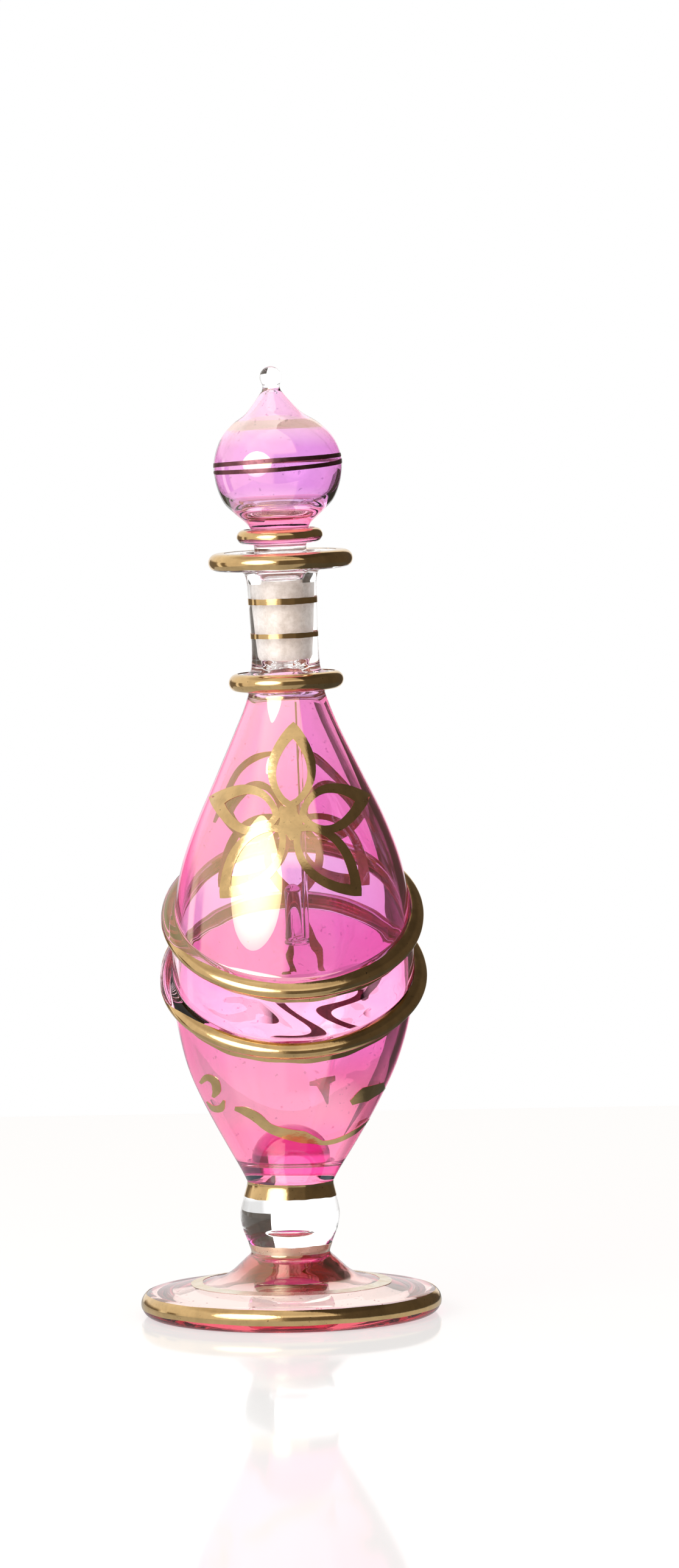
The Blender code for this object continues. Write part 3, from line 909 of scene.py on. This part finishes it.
def petal(centre, angle, start, length, half, line):
    """An outlined petal: a grid between its outer and its inner outline."""
    turn = np.linspace(0, 1, 41)
    side = np.where(turn < 0.5, -1.0, 1.0)
    along = 1 - np.abs(2 * turn - 1)
    shape = np.sin(math.pi * along**0.85) ** 0.8
    rows = []
    for share in np.linspace(0, 1, 5):
        low = start + share * line * 0.9
        high = length - share * line * 2.0
        across = side * shape * (half - share * line)
        ahead = low + (high - low) * along
        x = centre[0] + ahead * math.cos(angle) - across * math.sin(angle)
        z = centre[1] + ahead * math.sin(angle) + across * math.cos(angle)
        rows.append(np.stack([x, z], axis=-1))
    return np.array(rows)[::-1]


def flower_heart(centre, tall):
    """The filled middle of a flower."""
    turns = np.linspace(0, 2 * math.pi, 31)
    reach = np.linspace(0.02, 1, 4)[:, None] * HEART_RADIUS * (1 + 0.18 * np.cos(5 * turns + 0.4))
    return np.stack([centre[0] + reach * np.cos(turns),
                     centre[1] + tall * reach * np.sin(turns)], axis=-1)


def brush_stroke(points, widths):
    """A stroke of changing width along a smooth line of flat places."""
    line = smooth_line(points, 10)
    width = np.interp(np.linspace(0, 1, len(line)), np.linspace(0, 1, len(widths)), widths)
    ahead = unit(np.gradient(line, axis=0))
    aside = np.stack([-ahead[:, 1], ahead[:, 0]], axis=1)
    shares = np.linspace(-1, 1, 5)
    return np.array([line + aside * (width * share / 2)[:, None] for share in shares])


# Studio


def room_turn(way):
    """The direction round the room from 0 to 1, with the camera's side in the middle."""
    turn = math_node("ARCTAN2", way["X"], times(way["Y"], -1.0))
    inputs = {"Value": turn, "From Min": -math.pi, "From Max": math.pi}
    return add_node(turn.id_data, "MapRange", inputs).outputs[0]


def room_stops(pale, dark, front, near, corner, stands=None):
    """How bright the studio is round the object: white paper, a dark corner on the right.

    stands is how bright the dark stands on the left are; without it they are left out.
    """
    stops = [(-180, pale), (-98, 0.85 * pale), (-78, 0.8 * pale)]
    if stands is not None:
        stops = [
            (-180, pale), (-159, pale), (-156, stands), (-123, stands), (-120, pale),
            (-113, pale), (-110, stands), (-101, stands), (-97, 0.8 * pale), (-78, 0.75 * pale),
        ]
    stops += [
        (-60, 1.2 * front), (-10, front), (-3, near), (38, 0.9 * near), (42, dark),
        (corner - 6, dark), (corner, pale),
    ]
    return [((degrees + 180) / 360, grey) for degrees, grey in stops]


def stage_sheet(name, verts, faces, material):
    mesh = bpy.data.meshes.new(name)
    mesh.from_pydata(verts, [], faces)
    mesh.materials.append(bpy.data.materials[material])
    obj = add_object(name, mesh)
    return obj


def add_floor():
    """Pale acrylic: it mirrors the object softly, and each kind of ray meets its own light."""
    tree, shader = new_tree("pale_acrylic")
    set_inputs(shader, {"Base Color": (0.95, 0.95, 0.95), "Roughness": 0.06})
    sector = ramp(room_turn(axes(tree)), room_stops(1.0, 0.0, 1.0, 0.8, 164))
    reach = from_origin(place(tree))
    far = ramp(math_node("DIVIDE", reach, 0.4), [(0.1, 1.0), (0.16, 0.0)])
    lit = math_node("MAXIMUM", sector, far)
    level = by_ray(tree, 0.5, Glossy=choose(lit, 0.08, 0.5),
                   Transmission=choose(lit, 0.8, 1.3), Camera=1.25)
    share = by_ray(tree, 0.0, Glossy=1.0, Camera=0.42)
    light = glow(tree, (1, 1, 1), level)
    surface(tree, mixed(share, shader.outputs["BSDF"], light))
    half = FLOOR_HALF
    corners = [(-half, -half, 0), (half, -half, 0), (half, half, 0), (-half, half, 0)]
    stage_sheet("floor", corners, [(0, 1, 2, 3)], "pale_acrylic")


def add_card():
    """A dark card behind the bottle on the right, which only the glass's bent rays meet."""
    tree, _ = new_tree("dark_felt")
    nap = ramp(noise(tree, 60.0), [(0.3, (0.06, 0.05, 0.04)), (0.7, (0.09, 0.07, 0.055))])
    surface(tree, glow(tree, nap, 1.0))
    turns = np.radians(np.linspace(106, 166, 16))
    low = [(CARD_REACH * math.sin(t), -CARD_REACH * math.cos(t), 0.0) for t in turns]
    verts = low + [(x, y, CARD_TALL) for x, y, _ in low]
    count = len(low)
    faces = [(j, j + 1, j + 1 + count, j + count) for j in range(count - 1)]
    obj = stage_sheet("dark_card", verts, faces, "dark_felt")
    obj.visible_camera = obj.visible_glossy = False
    obj.visible_diffuse = obj.visible_shadow = False


def add_world():
    """The room: one set of levels for what the glass mirrors and one for what it bends."""
    world = bpy.data.worlds.new("pale_studio")
    bpy.context.scene.world = world
    world.use_nodes = True
    tree = world.node_tree
    way = axes(tree, "Generated")
    turn = room_turn(way)
    height = math_node("MULTIPLY_ADD", way["Z"], 0.5, 0.5)
    low = ramp(turn, room_stops(0.75, 0.07, 0.5, 0.12, 166, 0.15))
    middle = ramp(turn, room_stops(0.75, 0.07, 0.5, 0.12, 166))
    high = ramp(turn, room_stops(0.75, 0.07, 0.7, 0.7, 166))
    mirrored = blend(rise(height, 0.54, 0.6), low, middle)
    mirrored = blend(rise(height, 0.73, 0.77), mirrored, high)
    fade = ramp(way["Z"], [(0.0, 1.0), (0.65, 1.0), (0.8, 0.7), (1.0, 0.8)])
    bent = ramp(turn, [(0.0, 1.7), (0.25, 1.5), (0.37, 1.1), (0.44, 0.75), (0.56, 0.7),
                       (0.65, 0.9), (0.85, 0.95), (0.89, 1.5), (1.0, 1.7)])
    level = by_ray(tree, 0.7, Glossy=times(mirrored, fade, 1.2), Transmission=bent,
                   Camera=1.0)
    tint = blend(level, (1.0, 0.82, 0.64), (1.0, 1.0, 1.0))
    set_inputs(tree.nodes["Background"], {"Strength": level, "Color": tint})


def add_softbox():
    """A round softbox in front on the left, brightest near its middle."""
    data = bpy.data.lights.new("round_softbox", "AREA")
    data.shape = "ELLIPSE"
    data.size, data.size_y = SOFTBOX_SIZE
    data.energy = SOFTBOX_RADIANCE * math.pi * math.pi * data.size * data.size_y / 4
    data.use_nodes = True
    tree = data.node_tree
    across = add_node(tree, "NewGeometry").outputs["Parametric"]
    spot = add_node(tree, "VectorMath", {0: across, 1: (0.5, 0.6, 0.0)}, operation="DISTANCE")
    fall = ramp(spot.outputs["Value"], [(0.0, 1.0), (0.3, 0.85), (0.45, 0.5), (0.6, 0.2)])
    set_inputs(tree.nodes["Emission"], {"Strength": fall})
    lamp = add_object("round_softbox", data)
    lamp.location = (SOFTBOX_REACH * math.sin(SOFTBOX_AROUND),
                     -SOFTBOX_REACH * math.cos(SOFTBOX_AROUND), SOFTBOX_HEIGHT)
    aim = Vector((0.0, 0.0, 0.115)) - lamp.location
    lamp.rotation_euler = aim.to_track_quat("-Z", "Y").to_euler()
    lamp.visible_camera = False


def add_camera():
    data = bpy.data.cameras.new("camera")
    data.sensor_width, data.lens = 36.0, CAMERA_LENS
    data.clip_start, data.clip_end = 0.05, 50.0
    camera = add_object("camera", data)
    level = Matrix.Rotation(math.pi / 2 - CAMERA_DIP, 4, "X")
    roll = Matrix.Rotation(CAMERA_ROLL, 4, "Z")
    camera.matrix_world = Matrix.Translation(CAMERA_PLACE) @ level @ roll
    bpy.context.scene.camera = camera


# Add-on


def colour_setting(name, description, default):
    return bpy.props.FloatVectorProperty(
        name=name, description=description, default=default, subtype="COLOR", min=0, max=1)


def length_setting(name, description, default, low, high):
    return bpy.props.FloatProperty(
        name=name, description=description, default=default, unit="LENGTH", min=low, max=high)


class BottleLook(bpy.types.PropertyGroup):
    pink: colour_setting(
        "Pink lustre", "Lightest colour of the vessel's lustre", (1.0, 0.26, 0.45))
    magenta: colour_setting(
        "Magenta lustre", "Deepest colour of the vessel's lustre", (0.93, 0.08, 0.34))
    foot: colour_setting("Foot lustre", "Colour of the foot's lustre", (0.94, 0.7, 0.64))
    # The hub's deep stain, also painted as shade under the foot's rim.
    deep: colour_setting("Deep lustre", "Colour of the hub and under the rim", (0.38, 0.01, 0.022))
    dome: colour_setting("Dome stain", "Colour of the vessel's domed floor", (0.68, 0.05, 0.43))
    rose: colour_setting(
        "Rose lustre", "Colour of the stopper's waist and ring", (0.8, 0.2, 0.36))
    violet: colour_setting(
        "Violet lustre", "Violet clouds of the stopper's bulb", (0.64, 0.17, 0.52))
    bulb_pink: colour_setting(
        "Bulb pink", "Pink clouds of the stopper's bulb", (0.92, 0.5, 0.64))
    gold: colour_setting("Gilding", "Colour of the bright gilding", (0.93, 0.64, 0.3))
    thin_gold: colour_setting(
        "Thin gilding", "Colour of the thin dark gilt lines", (0.3, 0.12, 0.14))
    petal_length: length_setting(
        "Petal length", "Length of an upright petal of the gilt flower", 0.0155, 0.005, 0.03)
    petal_width: length_setting(
        "Petal width", "Half width of a petal of the gilt flower", 0.004, 0.001, 0.01)
    line_width: length_setting(
        "Line width", "Width of the gilt lines that outline the petals", 0.0014, 0.0003, 0.003)


class PERFUME_OT_bottle_glass(bpy.types.Operator):
    """Build the foot, knop, vessel, slanting rings, neck and lip as one skin of blown glass"""

    bl_idname = "perfume.bottle_glass"
    bl_label = "Bottle Glass"

    def execute(self, context):
        obj = add_mesh("bottle_glass", *bottle_skin(), BOTTLE_FINISHES)
        ride(
            obj, "bottle", "pink_glass", "foot", "stem_knop", "vessel", "lower_slant_ring",
            "upper_slant_ring", "neck_collar", "neck", "lip_ring",
        )
        return {"FINISHED"}


class PERFUME_OT_stopper_glass(bpy.types.Operator):
    """Build the stopper's drop, bulb, ring, ground plug and dauber"""

    bl_idname = "perfume.stopper_glass"
    bl_label = "Stopper Glass"

    def execute(self, context):
        obj = add_mesh("stopper_glass", *stopper_skin(), STOPPER_FINISHES)
        ride(obj, "stopper", "violet_glass", "ground_plug", "stopper_ring", "stopper_bulb",
             "finial_drop")
        dauber()
        return {"FINISHED"}


class PERFUME_OT_gilt_bands(bpy.types.Operator):
    """Lay the gold on the foot's rim, the knop, the rings, the neck and the lip"""

    bl_idname = "perfume.gilt_bands"
    bl_label = "Gilt Bands"

    def execute(self, context):
        gilt_band("foot_rim_gilding", arc(*FOOT_RIM, -14, 54, 20), 0.3)
        line = [(16.9, 5.35), (16.45, 5.4), (16.0, 5.46), (15.55, 5.53), (15.1, 5.6)]
        gilt_band("foot_circle_gilding", line, 1.1, material="pale_gilding")
        gilt_band("knop_gilding", smooth_line([(7.75, 20.3), (7.3, 22.0), (7.25, 22.6)], 5), 2.0)
        line = smooth_line([(6.6, 10.75), (6.7, 11.2), (7.0, 12.0)], 4)
        gilt_band("stem_gilding", line, 2.6, material="pale_gilding")
        gilt_band("collar_gilding", arc(*COLLAR, -85, 85, 20), 3.2)
        line = [(5.66, 114.85), (5.66, 115.2), (5.66, 115.55)]
        gilt_band("neck_line_low", line, 4.0, rough=0.06)
        line = [(5.73, 120.55), (5.74, 121.0), (5.74, 121.45)]
        gilt_band("neck_line_high", line, 4.8, rough=0.06)
        line = np.concatenate([arc(*LIP, -42, 88, 20), [(9.6, 129.22)]])
        gilt_band("lip_gilding", line, 5.5)
        gilt_band("stopper_ring_gilding", arc(*STOPPER_RING, -8, 84, 14), 6.1, "stopper")
        ring_gold("lower_ring_gilding", RING_LOW, 7.0, 1.1)
        ring_gold("upper_ring_gilding", RING_HIGH, 8.0, 0.5)
        bulb_line()
        return {"FINISHED"}


class PERFUME_OT_gilt_flowers(bpy.types.Operator):
    """Paint the traditional five-petal flowers, leaves and scrolls in gold"""

    bl_idname = "perfume.gilt_flowers"
    bl_label = "Gilt Flowers"

    def execute(self, context):
        look = context.scene.bottle_look
        scale = look.petal_length / MM / UPRIGHT_PETAL
        half, line = look.petal_width / MM, look.line_width / MM

        def flower(centre, petals, start, half, heart, tall):
            return [petal(centre, math.radians(degrees), start, size * scale, half, line)
                    for degrees, size in petals] + [flower_heart(heart, tall)]

        front = flower((-0.1, 85.2), FRONT_PETALS, 1.6, half, (-0.1, 84.9), 1.5)
        painted("front_flower_gilding", front, FRONT)
        back = flower((-0.3, 84.0), BACK_PETALS, 1.4, 1.35 * half, (-0.3, 84.0), 1.0)
        back += [brush_stroke(*stroke) for stroke in BACK_STROKES]
        painted("back_flower_gilding", back, BACK)
        scrolls = [brush_stroke(*stroke) for stroke in FRONT_STROKES]
        painted("front_scroll_gilding", scrolls, FRONT)
        return {"FINISHED"}


class PERFUME_OT_stage(bpy.types.Operator):
    """Set the pale floor, the studio light and the camera"""

    bl_idname = "perfume.stage"
    bl_label = "Stage"

    def execute(self, context):
        for add in (add_floor, add_card, add_world, add_softbox, add_camera):
            add()
        context.scene.view_settings.view_transform = "Standard"
        cycles = context.scene.cycles
        cycles.max_bounces = cycles.transmission_bounces = 28
        cycles.glossy_bounces = 12
        cycles.transparent_max_bounces = 24
        return {"FINISHED"}


class PERFUME_PT_panel(bpy.types.Panel):
    """The steps and looks of the perfume bottle"""

    bl_label = "Perfume Bottle"
    bl_idname = "PERFUME_PT_panel"
    bl_space_type = "VIEW_3D"
    bl_region_type = "UI"
    bl_category = "Perfume Bottle"

    def draw(self, context):
        for step in STEPS:
            self.layout.operator(step.bl_idname)
        for name in BottleLook.__annotations__:
            self.layout.prop(context.scene.bottle_look, name)


STEPS = (
    PERFUME_OT_bottle_glass,
    PERFUME_OT_stopper_glass,
    PERFUME_OT_gilt_bands,
    PERFUME_OT_gilt_flowers,
    PERFUME_OT_stage,
)
CLASSES = (BottleLook, *STEPS, PERFUME_PT_panel)


def register():
    for cls in CLASSES:
        bpy.utils.register_class(cls)
    bpy.types.Scene.bottle_look = bpy.props.PointerProperty(type=BottleLook)


def unregister():
    del bpy.types.Scene.bottle_look
    for cls in reversed(CLASSES):
        bpy.utils.unregister_class(cls)


def main():
    register()
    bpy.ops.perfume.bottle_glass()
    bpy.ops.perfume.stopper_glass()
    bpy.ops.perfume.gilt_bands()
    bpy.ops.perfume.gilt_flowers()
    bpy.ops.perfume.stage()


if __name__ == "__main__":
    main()
